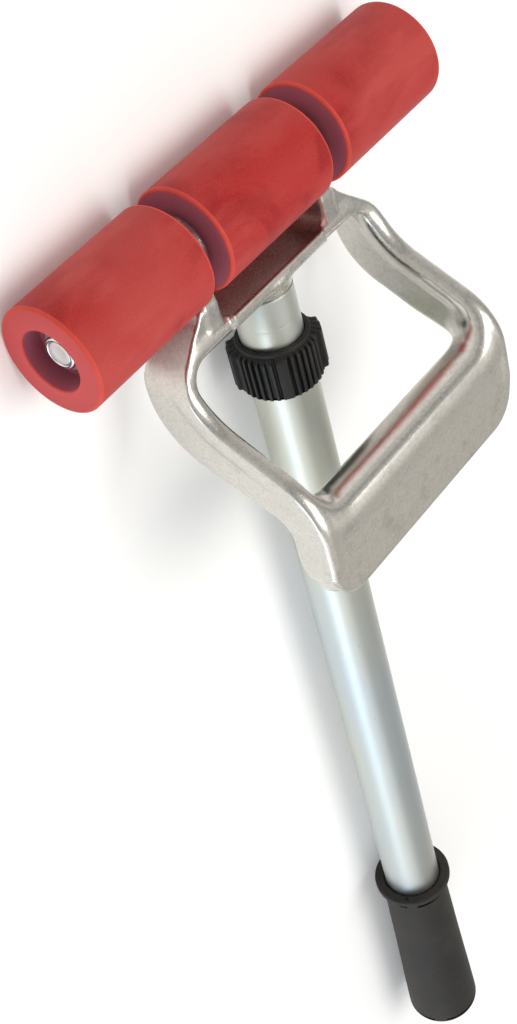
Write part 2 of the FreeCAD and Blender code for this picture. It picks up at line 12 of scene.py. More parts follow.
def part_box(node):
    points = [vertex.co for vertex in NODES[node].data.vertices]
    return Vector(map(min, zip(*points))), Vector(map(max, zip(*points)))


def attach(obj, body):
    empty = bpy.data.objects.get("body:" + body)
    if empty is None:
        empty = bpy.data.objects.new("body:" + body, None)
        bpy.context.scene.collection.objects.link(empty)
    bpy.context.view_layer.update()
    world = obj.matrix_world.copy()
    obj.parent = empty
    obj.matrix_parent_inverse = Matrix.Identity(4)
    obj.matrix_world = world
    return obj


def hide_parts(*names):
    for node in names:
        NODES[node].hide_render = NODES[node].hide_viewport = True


bl_info = {
    "name": "Extendable floor roller",
    "version": (1, 0, 0),
    "blender": (4, 5, 0),
    "location": "3D View > Sidebar > Floor Roller",
    "description": "Builds the visual pieces of a hand floor roller around its packed part",
    "category": "Object",
}

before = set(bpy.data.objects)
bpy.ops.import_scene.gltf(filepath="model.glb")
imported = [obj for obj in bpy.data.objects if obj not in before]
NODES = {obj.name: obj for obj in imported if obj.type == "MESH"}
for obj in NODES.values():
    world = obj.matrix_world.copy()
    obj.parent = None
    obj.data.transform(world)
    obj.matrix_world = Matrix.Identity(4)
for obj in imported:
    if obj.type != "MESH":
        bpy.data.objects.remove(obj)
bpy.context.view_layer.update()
MM = 0.001
AXLE_HEIGHT = sum((corner.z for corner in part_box("axle")), 0.0) / 2

# Sizes in millimetres, and the number of points round a lathed piece.
AXLE_RADIUS = 4.7625
BUSH_RADIUS = 8.0
RECESS_RADIUS = 12.7
RECESS_DEPTH = 9.5
ROUND = 160


# --- materials -----------------------------------------------------------------------------------

class Link:
    """A socket whose operators add Math nodes."""

    def __init__(self, shader, socket):
        self.shader = shader
        self.socket = socket

    def math(self, operation, other):
        return self.shader.node("ShaderNodeMath", {"operation": operation}, {0: self, 1: other})

    def __add__(self, other):
        return self.math("ADD", other)

    def __radd__(self, other):
        return self.math("ADD", other)

    def __sub__(self, other):
        return self.math("SUBTRACT", other)

    def __rsub__(self, other):
        return self.shader.node("ShaderNodeMath", {"operation": "SUBTRACT"}, {0: other, 1: self})

    def __mul__(self, other):
        return self.math("MULTIPLY", other)

    def __rmul__(self, other):
        return self.math("MULTIPLY", other)


class Shader:
    """A material that is built up node by node round one Principled BSDF."""

    def __init__(self, name):
        self.material = bpy.data.materials.new(name)
        self.material.use_nodes = True
        self.tree = self.material.node_tree
        self.surface = self.tree.nodes["Principled BSDF"]

    def node(self, kind, settings=None, values=None, output=0):
        """Adds a node: its settings are set first, then the values or links of its sockets."""
        made = self.tree.nodes.new(kind)
        for key, setting in (settings or {}).items():
            setattr(made, key, setting)
        for key, given in (values or {}).items():
            self.plug(made.inputs[key], given)
        return Link(self, made.outputs[output])

    def plug(self, socket, given):
        if isinstance(given, Link):
            self.tree.links.new(given.socket, socket)
        else:
            socket.default_value = given

    def set(self, **values):
        """Sets or links inputs of the surface; an underscore stands for a space."""
        for key, given in values.items():
            self.plug(self.surface.inputs[key.replace("_", " ")], given)

    def place(self, scale=(1, 1, 1), location=(0, 0, 0), rotation=(0, 0, 0)):
        """Object coordinates in metres, moved, turned and scaled."""
        where = self.node("ShaderNodeTexCoord", output="Object")
        return self.node("ShaderNodeMapping", {"vector_type": "POINT"},
                         {"Vector": where, "Scale": scale, "Location": location,
                          "Rotation": rotation})

    def noise(self, scale, detail=3.0, roughness=0.5, where=None, distortion=0.0):
        """Fractal noise from 0 to 1; scale is in cells per metre."""
        return self.node("ShaderNodeTexNoise", {},
                         {"Vector": where or self.place(), "Scale": scale, "Detail": detail,
                          "Roughness": roughness, "Distortion": distortion})

    def cells(self, scale, where=None):
        """Distance from the nearest of a scatter of points, in cells."""
        return self.node("ShaderNodeTexVoronoi", {"feature": "F1"},
                         {"Vector": where or self.place(), "Scale": scale})

    def step(self, factor, low, high, start=0.0, end=1.0):
        """A smooth step from start to end as the factor goes from low to high."""
        return self.node("ShaderNodeMapRange", {"interpolation_type": "SMOOTHSTEP"},
                         {"Value": factor, "From Min": low, "From Max": high,
                          "To Min": start, "To Max": end})

    def mix(self, factor, first, second):
        """Mixes two colours."""
        first, second = (shade if isinstance(shade, Link) else colour(shade)
                         for shade in (first, second))
        return self.node("ShaderNodeMix", {"data_type": "RGBA"},
                         {0: factor, 6: first, 7: second}, 2)

    def bump(self, height, strength, distance):
        return self.node("ShaderNodeBump", {},
                         {"Height": height, "Strength": strength, "Distance": distance})


def fill_ramp(ramp, stops):
    """Puts the stops (place, colour) on a colour ramp."""
    while len(ramp.elements) > 1:
        ramp.elements.remove(ramp.elements[-1])
    for number, (place, shade) in enumerate(stops):
        element = ramp.elements[0] if number == 0 else ramp.elements.new(place)
        element.position = place
        element.color = colour(shade)


def colour(shade):
    """An RGBA colour from a grey or an RGB triple."""
    if isinstance(shade, (int, float)):
        return (shade, shade, shade, 1.0)
    return (*tuple(shade)[:3], 1.0)


def srgb(red, green, blue):
    """Linear colour from sRGB values of 0 to 255."""
    def linear(level):
        level = level / 255
        return level / 12.92 if level <= 0.04045 else ((level + 0.055) / 1.055) ** 2.4
    return tuple(linear(level) for level in (red, green, blue))


def cover(obj, shader):
    """Gives an object one material in every slot."""
    obj.data.materials.clear()
    obj.data.materials.append(shader.material)
    for face in obj.data.polygons:
        face.material_index = 0


def attribute(shader, name):
    """A number that a piece keeps for each of its points."""
    return shader.node("ShaderNodeAttribute", {"attribute_name": name}, output="Fac")


def red_rubber(look):
    """Moulded rubber: a deep red with cloudy patches and a dusty film, a fine grain, a painted
    highlight on the rims, painted light on the outer end faces, and purple painted shade on the
    inner ends, the recess walls and the bores."""
    shader = Shader("red_rubber")
    clouds = shader.noise(26, 4, 0.6, distortion=0.6)
    streaks = shader.noise(60, 3, 0.6, shader.place(scale=(0.35, 1, 1)))
    film = shader.noise(14, 3, 0.55, shader.place(location=(3.1, 0.7, 1.9)))
    grain = shader.noise(2600, 2, 0.6)
    base = shader.mix(shader.step(clouds, 0.44, 0.6), look.rubber, look.rubber_deep)
    dusty = shader.step(film, 0.42, 0.68) * 0.75 + shader.step(streaks, 0.47, 0.72) * 0.5
    base = shader.mix(dusty, base, look.rubber_dust)
    # Painted highlight: the rims and the recess's lip are mixed towards a lighter red.
    base = shader.mix(attribute(shader, "edge") * (0.55 + 0.45 * streaks), base, look.rubber_edge_highlight)
    # Painted light: the outer end faces are mixed towards a lighter red.
    base = shader.mix(attribute(shader, "face"), base, look.rubber_lit_face)
    # Painted shade: the inner ends, the recess walls and the bores are mixed towards a purple red.
    base = shader.mix(attribute(shader, "shade"), base, look.rubber_shade)
    speck = shader.step(grain, 0.35, 0.75)
    base = shader.mix(speck * 0.07, base, (0.85, 0.35, 0.3))
    pits = shader.step(shader.cells(900, shader.place(location=(0.3, 0.1, 0.2))), 0.16, 0.05)
    height = grain * 0.5 + clouds * 0.8 - pits * 0.6
    shader.set(Base_Color=base, Roughness=shader.step(film, 0.3, 0.7, 0.5, 0.66),
               Normal=shader.bump(height, 0.22, 0.00012))
    shader.set(Specular_IOR_Level=0.25, Sheen_Weight=0.04, Sheen_Roughness=0.5)
    return shader


def cast_aluminium(look):
    """Cast aluminium, tumbled and lightly polished, with short fine scratches; rougher and more
    speckled on the up-facing flat top of the bar, which painted shade also darkens, and with a
    painted reflection of the rubber, in shade, in the trough."""
    shader = Shader("cast_aluminium")
    flat, painted_reflection = attribute(shader, "flat"), attribute(shader, "painted_reflection")
    cloud = shader.noise(38, 4, 0.6)
    speck = shader.noise(620, 4, 0.75)
    fine = shader.noise(1900, 2, 0.7)
    brushed = shader.noise(500, 3, 0.6, shader.place(scale=(0.12, 1, 1), rotation=(0.2, 0.4, 0.7)))
    pits = shader.step(shader.cells(420), 0.13, 0.03)
    stain = shader.noise(90, 5, 0.7, shader.place(location=(1.7, 0.2, 0.5)))
    stain = shader.step(stain, 0.5, 0.72)
    base = shader.mix(cloud, look.metal, look.metal_warm)
    # Painted shade: the up-facing flat top of the bar is mixed towards a darker grey.
    base = shader.mix(flat * 0.5, base, look.metal_flat_shade)
    base = shader.mix(stain * (0.2 + 0.35 * flat), base, look.metal_stain)
    base = shader.mix(pits * (0.25 + 0.5 * flat), base, look.metal_stain)
    base = shader.mix(shader.step(speck, 0.42, 0.66) * 0.28, base, look.metal_stain)
    # Painted reflection and shade: the trough under the middle roller is mixed towards a dark red,
    # as if it mirrored the rubber.
    base = shader.mix(painted_reflection * (0.62 + 0.4 * cloud), base, look.metal_painted_reflection)
    base = shader.mix(shader.step(fine, 0.5, 0.75) * 0.35, base, (0.95, 0.93, 0.88))
    rough = 0.16 + 0.08 * cloud + 0.10 * brushed + flat * (0.2 + 0.1 * speck) + painted_reflection * 0.22
    height = speck * (0.45 + 0.55 * flat) + fine * 0.45 + brushed * 0.2 - pits * 1.2
    shader.set(Base_Color=base, Metallic=1.0, Roughness=rough,
               Normal=shader.bump(height, 0.45, 0.00014))
    return shader


def zinc_plate(look):
    """Zinc plated tube: a pale grey film with faint yellow and blue clouds and light scuffs."""
    shader = Shader("zinc_plate")
    tint = shader.noise(22, 3, 0.5, shader.place(scale=(1, 0.4, 1)))
    cloud = shader.noise(120, 4, 0.6, shader.place(scale=(1, 0.5, 1)))
    scuff = shader.noise(700, 3, 0.65, shader.place(scale=(1, 0.06, 1)))
    nick = shader.step(shader.cells(130, shader.place(scale=(1, 0.6, 1))), 0.055, 0.015)
    base = shader.mix(shader.step(tint, 0.35, 0.65), look.zinc_blue, look.zinc_yellow)
    base = shader.mix(cloud * 0.35, base, look.zinc)
    base = shader.mix(nick * 0.5, base, (0.25, 0.24, 0.22))
    rough = 0.33 + 0.10 * cloud + 0.06 * scuff
    height = scuff * 0.5 + cloud * 0.4 - nick
    shader.set(Base_Color=base, Metallic=1.0, Roughness=rough,
               Normal=shader.bump(height, 0.08, 0.00008))
    return shader


def moulded_plastic(name, base, pale, rough, grain_scale, depth):
    """Moulded plastic with a sparked grain and faint dusty clouds, and painted shade that makes it
    near black in its grooves.
    """
    shader = Shader(name)
    grain = shader.noise(grain_scale, 2, 0.6)
    cells = shader.cells(grain_scale * 0.8)
    cloud = shader.noise(45, 4, 0.6)
    mixed = shader.mix(shader.step(cloud, 0.35, 0.8) * 0.6 + grain * 0.25, base, pale)
    mixed = shader.mix(shader.step(grain, 0.55, 0.75) * 0.6, mixed, pale)
    # Painted shade: where a piece paints groove, the colour goes near black.
    mixed = shader.mix(attribute(shader, "groove") * 0.9, mixed, 0.001)
    shader.set(Base_Color=mixed, Roughness=rough + 0.14 * cloud,
               Normal=shader.bump(grain * 0.6 + cells * 0.5, 0.5, depth))
    shader.set(Specular_IOR_Level=0.28)
    return shader


def turned_steel(name, base, rough):
    """Bright steel with fine turning marks."""
    shader = Shader(name)
    marks = shader.noise(1500, 2, 0.6, shader.place(scale=(1, 0.3, 0.3)))
    cloud = shader.noise(300, 3, 0.6)
    shade = shader.mix(cloud * 0.35, base, tuple(0.7 * level for level in base))
    shader.set(Base_Color=shade, Metallic=1.0, Roughness=rough + 0.12 * marks,
               Normal=shader.bump(marks * 0.5 + cloud, 0.08, 0.00005))
    return shader


def nylon(name, base):
    """Moulded nylon with a slight mottle."""
    shader = Shader(name)
    cloud = shader.noise(260, 3, 0.6)
    shade = shader.mix(cloud * 0.5, base, tuple(0.75 * level for level in base))
    shader.set(Base_Color=shade, Roughness=0.42 + 0.12 * cloud,
               Normal=shader.bump(cloud, 0.1, 0.00005))
    return shader


# --- surfaces ------------------------------------------------------------------------------------

def mesh_object(name, points, faces, sharp=35.0):
    """A smooth-shaded object from points in millimetres and a list of face arrays."""
    mesh = bpy.data.meshes.new(name)
    sizes = np.concatenate([np.full(len(group), group.shape[1]) for group in faces])
    corners = np.concatenate([group.ravel() for group in faces])
    mesh.vertices.add(len(points))
    mesh.vertices.foreach_set("co", (points * MM).astype(np.float32).ravel())
    mesh.loops.add(len(corners))
    mesh.loops.foreach_set("vertex_index", corners.astype(np.int32))
    mesh.polygons.add(len(sizes))
    mesh.polygons.foreach_set("loop_start", (np.cumsum(sizes) - sizes).astype(np.int32))
    mesh.update(calc_edges=True)
    mesh.validate()
    mesh.shade_smooth()
    mesh.set_sharp_from_angle(angle=math.radians(sharp))
    made = bpy.data.objects.new(name, mesh)
    bpy.context.scene.collection.objects.link(made)
    return made


def paint(obj, name, values):
    """Keeps one number for every point, for the material to read."""
    layer = obj.data.attributes.new(name, "FLOAT", "POINT")
    layer.data.foreach_set("value", np.asarray(values, np.float32).ravel())


def rounded_path(corners, closed=True, step=10.0):
    """A path through corners (a, b, bend), whose turns are arcs of radius bend. Beside every arc
    the straight runs get one more point, so that they shade flat up to it."""
    spots = np.array([corner[:2] for corner in corners], float)
    points = []
    for n, (spot, (_, _, bend)) in enumerate(zip(spots, corners)):
        if bend == 0 or (not closed and n in (0, len(spots) - 1)):
            points.append(spot[None])
            continue
        back, ahead = spots[n - 1] - spot, spots[(n + 1) % len(spots)] - spot
        back, ahead = back / np.linalg.norm(back), ahead / np.linalg.norm(ahead)
        half = math.acos(np.clip(back @ ahead, -1, 1)) / 2
        middle = (back + ahead) / np.linalg.norm(back + ahead)
        across = (ahead - back) / np.linalg.norm(ahead - back)
        centre = spot + middle * bend / math.sin(half)
        swing = math.pi / 2 - half
        stops = np.linspace(-swing, swing, int(math.degrees(2 * swing) / step) + 3)
        arc = centre + bend * (np.outer(np.sin(stops), across) - np.outer(np.cos(stops), middle))
        extra = min(0.25, 0.4 * bend)
        points.append(np.vstack([arc[0] + back * extra, arc, arc[-1] + ahead * extra]))
    path = np.vstack(points)
    a, b = path.T
    if closed and a @ np.roll(b, -1) > b @ np.roll(a, -1):
        path = path[::-1]
    return path


def lathe(axis, along, radius):
    """A surface of revolution about the axle (x) or the tube (y), as points and faces. along and
    radius have a row for each point of the profile and a column for each angle. A profile that
    starts with no radius runs from pole to pole; any other is a closed loop."""
    along, radius = np.broadcast_arrays(along, radius)
    rows, turns = radius.shape
    angle = np.arange(turns) * (2 * math.pi / turns)
    side, rise = radius * np.cos(angle), radius * np.sin(angle)
    if axis == "x":
        grid = np.stack([along, side, rise + AXLE_HEIGHT / MM], -1)
    else:
        grid = np.stack([rise, along, side + AXLE_HEIGHT / MM], -1)
    if radius[0].any():
        number = np.arange(rows * turns).reshape(rows, turns)
        first, second = number, np.roll(number, -1, 0)
        points, fans = grid.reshape(-1, 3), []
    else:
        number = np.arange((rows - 2) * turns).reshape(rows - 2, turns)
        first, second = number[:-1], number[1:]
        points = np.vstack([grid[1:-1].reshape(-1, 3), grid[0, :1], grid[-1, :1]])
        start = np.full(turns, len(points) - 2)
        fans = [np.stack([np.roll(number[0], -1), number[0], start], -1),
                np.stack([number[-1], np.roll(number[-1], -1), start + 1], -1)]
    quads = np.stack([first, np.roll(first, -1, 1), np.roll(second, -1, 1), second], -1)
    return points, [quads.reshape(-1, 4)] + fans


def round_union(a, b, radius):
    """Joins two solids, given as distances, with a fillet of that radius in the inner corner."""
    bend = np.sqrt(np.maximum(radius - a, 0) ** 2 + np.maximum(radius - b, 0) ** 2)
    return np.maximum(radius, np.minimum(a, b)) - bend


def round_meet(a, b, radius):
    """What two solids share, with its edge rounded to that radius."""
    return -round_union(-a, -b, radius)


def box_distance(a, b, radius):
    """Distance from a quarter plane with a round corner, whose walls are at a = 0 and b = 0."""
    a, b = a + radius, b + radius
    outside = np.sqrt(np.maximum(a, 0) ** 2 + np.maximum(b, 0) ** 2)
    return outside + np.minimum(np.maximum(a, b), 0) - radius


def smooth(value, low, high):
    """A smooth step from 0 to 1 as the value goes from low to high."""
    t = np.clip((value - low) / (high - low), 0, 1)
    return t * t * (3 - 2 * t)


def path_side(path, a, b):
    """Signed distance from a smooth path in a plane, positive on its left. The path is a start
    point, a heading in degrees, and runs of (length, turn in degrees): a run with a turn is an
    arc. The first and last runs are straight and have no outer end."""
    (at_a, at_b), heading, runs = path
    best = np.full(np.broadcast(a, b).shape, 1e9)
    for number, (length, turn) in enumerate(runs):
        way = math.radians(heading)
        if turn == 0:
            along = (a - at_a) * math.cos(way) + (b - at_b) * math.sin(way)
            side = (b - at_b) * math.cos(way) - (a - at_a) * math.sin(way)
            low = -1e9 if number == 0 else -1e-6
            high = 1e9 if number == len(runs) - 1 else length + 1e-6
            here = (along >= low) & (along <= high)
            at_a, at_b = at_a + length * math.cos(way), at_b + length * math.sin(way)
        else:
            bend = math.copysign(1, turn)
            radius = length / abs(math.radians(turn))
            middle_a = at_a - bend * radius * math.sin(way)
            middle_b = at_b + bend * radius * math.cos(way)
            from_a, from_b = a - middle_a, b - middle_b
            start = way - bend * math.pi / 2
            swept = bend * (np.arctan2(from_b, from_a) - start) + math.pi / 2
            swept = np.mod(swept, 2 * math.pi) - math.pi / 2
            here = (swept >= -1e-6) & (swept <= abs(math.radians(turn)) + 1e-6)
            side = bend * (radius - np.sqrt(from_a ** 2 + from_b ** 2))
            heading += turn
            way = math.radians(heading)
            at_a = middle_a + bend * radius * math.sin(way)
            at_b = middle_b - bend * radius * math.cos(way)
        best = np.where(here & (np.abs(side) < np.abs(best)), side, best)
    return best


def surface_nets(field, low, high, pitch):
    """The zero surface of a field as points and quads. Each lattice cell that the surface crosses
    holds one point, at the mean of the crossings on its edges, and each lattice edge that it
    crosses makes a quad of the four cells round it."""
    lines = [np.arange(a, b + pitch, pitch) for a, b in zip(low, high)]
    values = field(lines[0][:, None, None], lines[1][None, :, None], lines[2][None, None, :])
    inside = values < 0
    cells = [n - 1 for n in values.shape]
    corners = [(i, j, k) for i in (0, 1) for j in (0, 1) for k in (0, 1)]

    def block(array, corner):
        return array[tuple(slice(c, c + n) for c, n in zip(corner, cells))]

    filled = sum(block(inside, corner).astype(np.int8) for corner in corners)
    active = (filled > 0) & (filled < 8)
    number = np.full(cells, -1)
    number[active] = np.arange(active.sum())
    held = {corner: block(values, corner)[active] for corner in corners}
    total, count = np.zeros((active.sum(), 3)), np.zeros((active.sum(), 1))
    for axis in range(3):
        for corner in corners:
            if corner[axis] == 1:
                continue
            other = tuple(1 if n == axis else corner[n] for n in range(3))
            crossed = (held[corner] < 0) != (held[other] < 0)
            gap = np.where(crossed, held[corner] - held[other], 1)
            spot = np.tile(np.array(corner, float), (len(gap), 1))
            spot[:, axis] = held[corner] / gap
            total += spot * crossed[:, None]
            count += crossed[:, None]
    points = np.array(low) + (np.argwhere(active) + total / count) * pitch
    quads = []
    for axis in range(3):
        first, second = [(1, 2), (2, 0), (0, 1)][axis]
        here = [slice(1, -1)] * 3
        here[axis] = slice(0, -1)
        there = list(here)
        there[axis] = slice(1, None)
        before, after = inside[tuple(here)], inside[tuple(there)]
        for leaves, turn in ((before & ~after, 1), (~before & after, -1)):
            spots = np.argwhere(leaves) + [0 if n == axis else 1 for n in range(3)]
            ring = []
            for back in ((1, 1), (0, 1), (0, 0), (1, 0))[::turn]:
                cell = spots.copy()
                cell[:, first] -= back[0]
                cell[:, second] -= back[1]
                ring.append(number[tuple(cell.T)])
            quads.append(np.stack(ring, -1))
    return points, np.vstack(quads)


def slope(field, points, reach=0.02):
    """A field's values and gradients at points, from four places round each."""
    ways = np.array([(1, 1, 1), (1, -1, -1), (-1, 1, -1), (-1, -1, 1)])
    found = np.stack([field(*(points + way * reach).T) for way in ways], -1)
    return found.mean(-1), found @ ways / (4 * reach)


def settle(field, points, quads, rounds=3, share=0.5):
    """Evens out points by moving each part of the way to the mean of its neighbours, then back on
    the zero surface along the gradient."""
    start = quads.ravel()
    end = np.roll(quads, -1, 1).ravel()
    count = np.bincount(start, minlength=len(points))[:, None]
    for number in range(rounds):
        mean = np.stack([np.bincount(start, points[end, n], len(points)) for n in range(3)], -1)
        points = points + (mean / count - points) * share
        for _ in range(3 if number == rounds - 1 else 1):
            value, pull = slope(field, points)
            size = np.maximum((pull ** 2).sum(-1), 0.05)
            points = points - pull * np.clip(value / size, -1, 1)[:, None]
    return points


# --- cast head -----------------------------------------------------------------------------------

# Paths in the side view, (y, z) from the axle: the crest of the stirrup and its underside.
CREST = ((18.0, 10.5), 0, ((14.8, 0), (35.6, 60), (25.4, 0), (31.4, -60), (40.0, 0)))
UNDERSIDE = ((18.0, -9.3), 0,
             ((32.4, 0), (38.6, 65), (32.1, 0), (13.6, -65), (6.0, 0), (28.8, 55), (10.0, 0)))
SHOULDER_SLOPE = math.radians(43)
SHOULDER_CENTRE = (40.0, 55.58)
SHOULDER_BEND = 24.0
HALF_WIDTH = 64.0
OPENING_HALF_WIDTH = 56.0
SHOULDER_START = 40.25


def opening_distance(x, y):
    """Distance outside the hand opening in plan, whose front corners are tighter."""
    rear = y > 66
    corner = np.where(rear, 13.0, 10.0)
    reach = np.where(rear, 25.5, 26.0)
    return box_distance(x - OPENING_HALF_WIDTH, np.abs(y - 66) - reach, corner)


def shoulder_distance(x, r):
    """Distance outside the shoulder, which leaves the arm at 43 degrees and rounds up to the side.
    r is the distance from the axle."""
    from_x, from_r = x - SHOULDER_CENTRE[0], r - SHOULDER_CENTRE[1]
    angle = np.arctan2(from_r, from_x)
    straight = ((x - SHOULDER_START) * math.sin(SHOULDER_SLOPE)
                - (r - 23.0) * math.cos(SHOULDER_SLOPE))
    round_part = np.sqrt(from_x ** 2 + from_r ** 2) - SHOULDER_BEND
    side = x - HALF_WIDTH
    turned = np.where(angle > SHOULDER_SLOPE - math.pi / 2, round_part, straight)
    return np.where((angle > 0) & (angle < math.pi - SHOULDER_SLOPE), side, turned)


def head_field(x, y, z):
    """Distance from the cast head in millimetres, with z from the axle: a slab between the crest
    and the underside, less the opening, with a bead round the opening and one along each side,
    arms and heads on the axle, a trough for the middle roller and a boss for the tube."""
    x = np.abs(x)
    r = np.sqrt(y * y + z * z)
    inward = opening_distance(x, y)
    outline = box_distance(x - HALF_WIDTH, y - 135, 17.0)
    crest = path_side(CREST, y, z)
    front = 1 - smooth(y, 45, 60)
    raised = 2.5 * (1 - smooth(x, 29.0, 30.2)) * front
    top = crest - raised + 0.7 - 0.5 * smooth(y, 88, 104)
    slab = round_meet(top, -path_side(UNDERSIDE, y, z), 3.0)
    slab = round_meet(slab, np.maximum(outline + 1.3, 1.3 - inward), 2.5)
    slab = round_meet(slab, 22 - y, 2.0)
    below = np.maximum(box_distance(x - OPENING_HALF_WIDTH, z - 48, 8.0), np.abs(y - 91) - 20)
    slab = round_meet(slab, -below, 2.5)
    bend = 4 + 4 * smooth(y, 80, 98)
    bead = np.sqrt((inward - bend) ** 2 + (crest + bend) ** 2) - bend
    sink = 5 * smooth(y, 112, 132)
    edge = np.sqrt((outline + 3.2) ** 2 + (crest + 3.2 + sink) ** 2) - 3.2
    ring = round_union(round_union(slab, bead, 3.0), edge, 2.0)
    ring = round_meet(ring, -box_distance(x - 33, r - 34.7, 7.0), 1.2)
    neck = np.maximum(np.maximum(z - 10.2, -9.3 - z), np.maximum(y - 32, -y))
    arm = round_meet(np.minimum(neck, r - 13.25), np.abs(x - 36.625) - 3.625, 0.8)
    solid = round_union(ring, arm, 2.0)
    solid = round_meet(solid, round_union(shoulder_distance(x, r), x - SHOULDER_START, 5.0), 1.0)
    tube = np.sqrt(x * x + z * z)
    boss = round_meet(tube - 12.9, np.maximum(36 - y, y - 41.9), 0.4)
    spigot = np.maximum(tube - 11.9, np.maximum(36 - y, y - 72.3))
    solid = np.minimum(round_union(solid, boss, 1.8), spigot)
    return np.maximum(solid, AXLE_RADIUS - r)


def build_head(look):
    points, quads = surface_nets(head_field, (-66, -15.3, -15.3), (66, 137, 66), look.pitch / MM)
    points = settle(head_field, points, quads)
    # flat marks the up-facing top of the bar: more roughness and speckle there, and painted shade.
    _, pull = slope(head_field, points)
    level = smooth(pull[:, 2] / np.linalg.norm(pull, axis=1), 0.7, 1.0)
    flat = level * smooth(points[:, 1], 86, 104)
    x, y, z = points.T
    # This mask marks the trough round the middle roller, for a painted reflection of the rubber in
    # shade.
    painted_reflection = (1 - smooth(np.hypot(y, z), 35.2, 36.2)) * (1 - smooth(np.abs(x), 33.2, 34.2))
    painted_reflection = painted_reflection * (y > 20)
    points[:, 2] += AXLE_HEIGHT / MM
    head = mesh_object("cast_head", points, [quads], 60)
    paint(head, "flat", flat)
    paint(head, "painted_reflection", painted_reflection)
    cover(head, cast_aluminium(look))
    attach(head, "head")
    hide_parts("head_casting")


# --- rollers and the axle's ends -----------------------------------------------------------------

def build_roller(side, look, shader):
    """A rubber roller from the box of its node: a rounded rim at both ends, a bore for the bushes
    and, on a side roller, a recess round the axle's end."""
    node = f"roller_{side}"
    low, high = (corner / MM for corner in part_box(node))
    outer = (high.z - low.z) / 2
    rim = look.rim_radius / MM
    bore = BUSH_RADIUS
    corners = [(low.x, outer, rim), (high.x, outer, rim)]
    if side == "right":
        floor = high.x - RECESS_DEPTH
        corners += [(high.x, RECESS_RADIUS, 0.7), (floor, RECESS_RADIUS, 0.8), (floor, bore, 0)]
    else:
        corners += [(high.x, bore, 0)]
    if side == "left":
        floor = low.x + RECESS_DEPTH
        corners += [(floor, bore, 0), (floor, RECESS_RADIUS, 0.8), (low.x, RECESS_RADIUS, 0.7)]
    else:
        corners += [(low.x, bore, 0)]
    path = rounded_path(corners)
    points, faces = lathe("x", path[:, :1], np.repeat(path[:, 1:], ROUND, 1))
    skin = mesh_object(f"roller_skin_{side}", points, faces)
    x, r = path.T
    ends = np.minimum(x - low.x, high.x - x)
    # edge marks the rims, and lip the recess's lip, where a painted highlight goes.
    edge = (r > outer - rim * 1.05) * (ends < rim * 1.05)
    recess_end = {"left": low.x, "right": high.x}.get(side)
    open_end = np.abs(x - recess_end) < 0.9 if recess_end is not None else np.zeros(len(x))
    lip = open_end * (np.abs(r - 12.9) < 0.9)
    # face marks the outer end faces, where painted light goes.
    face = (ends < 0.9) * open_end * (1 - edge)
    # shade marks the inner ends, the recess walls and the bores, where painted shade goes.
    shade = (ends < 0.9) * (1 - open_end) * (1 - edge) + (r < 12.71) * (ends > 0.9)
    for word, values in (("edge", np.maximum(edge * 0.9, lip * 0.6)), ("face", face * 0.6),
                         ("shade", np.clip(shade, 0, 1) * 0.85)):
        paint(skin, word, np.repeat(values.astype(float), ROUND))
    cover(skin, shader)
    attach(skin, f"{side}_roller")
    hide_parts(node)


def build_fastening(side, shader):
    """The ring on the axle's end: a collar whose outer rim rolls over into a groove."""
    node = f"retaining_ring_{side}"
    low, high = (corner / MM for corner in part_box(node))
    outer = (high.z - low.z) / 2
    sign = 1 if side == "right" else -1
    base, face = (low.x, high.x) if sign > 0 else (high.x, low.x)
    corners = [(base, AXLE_RADIUS, 0), (base, outer, 0.3), (face, outer, 1.25),
               (face, outer - 1.9, 0.6), (face - sign * 1.3, outer - 2.0, 0.25),
               (face - sign * 1.3, AXLE_RADIUS, 0)]
    path = rounded_path(corners)
    points, faces = lathe("x", path[:, :1], np.repeat(path[:, 1:], 96, 1))
    ring = mesh_object(f"ring_{side}", points, faces)
    cover(ring, shader)
    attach(ring, "head")
    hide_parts(node)


def build_axle(shader):
    """The axle: a bar with chamfered ends and a shallow turned dish in each."""
    low, high = (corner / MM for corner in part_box("axle"))
    outer = (high.z - low.z) / 2
    corners = [(low.x + 0.12, 0, 0), (low.x + 0.12, 2.2, 0), (low.x, 3.0, 0.6),
               (low.x, outer, 0.55), (high.x, outer, 0.55), (high.x, 3.0, 0.6),
               (high.x - 0.12, 2.2, 0), (high.x - 0.12, 0, 0)]
    path = rounded_path(corners, closed=False)
    points, faces = lathe("x", path[:, :1], np.repeat(path[:, 1:], 72, 1))
    bar = mesh_object("axle_bar", points, faces)
    cover(bar, shader)
    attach(bar, "head")
    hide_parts("axle")


# --- tubes, collar and grip ----------------------------------------------------------------------

def build_tube(node, body, wall, rings, look, shader):
    """A drawn tube with rounded ends and shallow rolled rings at the given places."""
    low, high = (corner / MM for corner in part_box(node))
    outer = (high.z - low.z) / 2
    corners = [(low.y + 0.15, outer, 0.35)]
    for place in rings:
        corners += [(place - 0.5, outer, 0.5), (place, outer - look.ring_depth / MM, 0.3),
                    (place + 0.5, outer, 0.5)]
    corners += [(high.y, outer, 0.35), (high.y, outer - wall, 0.2),
                (low.y + 0.15, outer - wall, 0.2)]
    path = rounded_path(corners)
    points, faces = lathe("y", path[:, :1], np.repeat(path[:, 1:], ROUND, 1))
    tube = mesh_object(f"{node}_skin", points, faces)
    cover(tube, shader)
    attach(tube, body)
    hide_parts(node)


def turn_window(angle, middle, half, soft):
    """1 within half of the middle angle and 0 beyond, all in degrees, with soft flanks."""
    away = np.abs(np.mod(np.degrees(angle) - middle + 180, 360) - 180)
    return 1 - smooth(away, half - soft, half + soft)


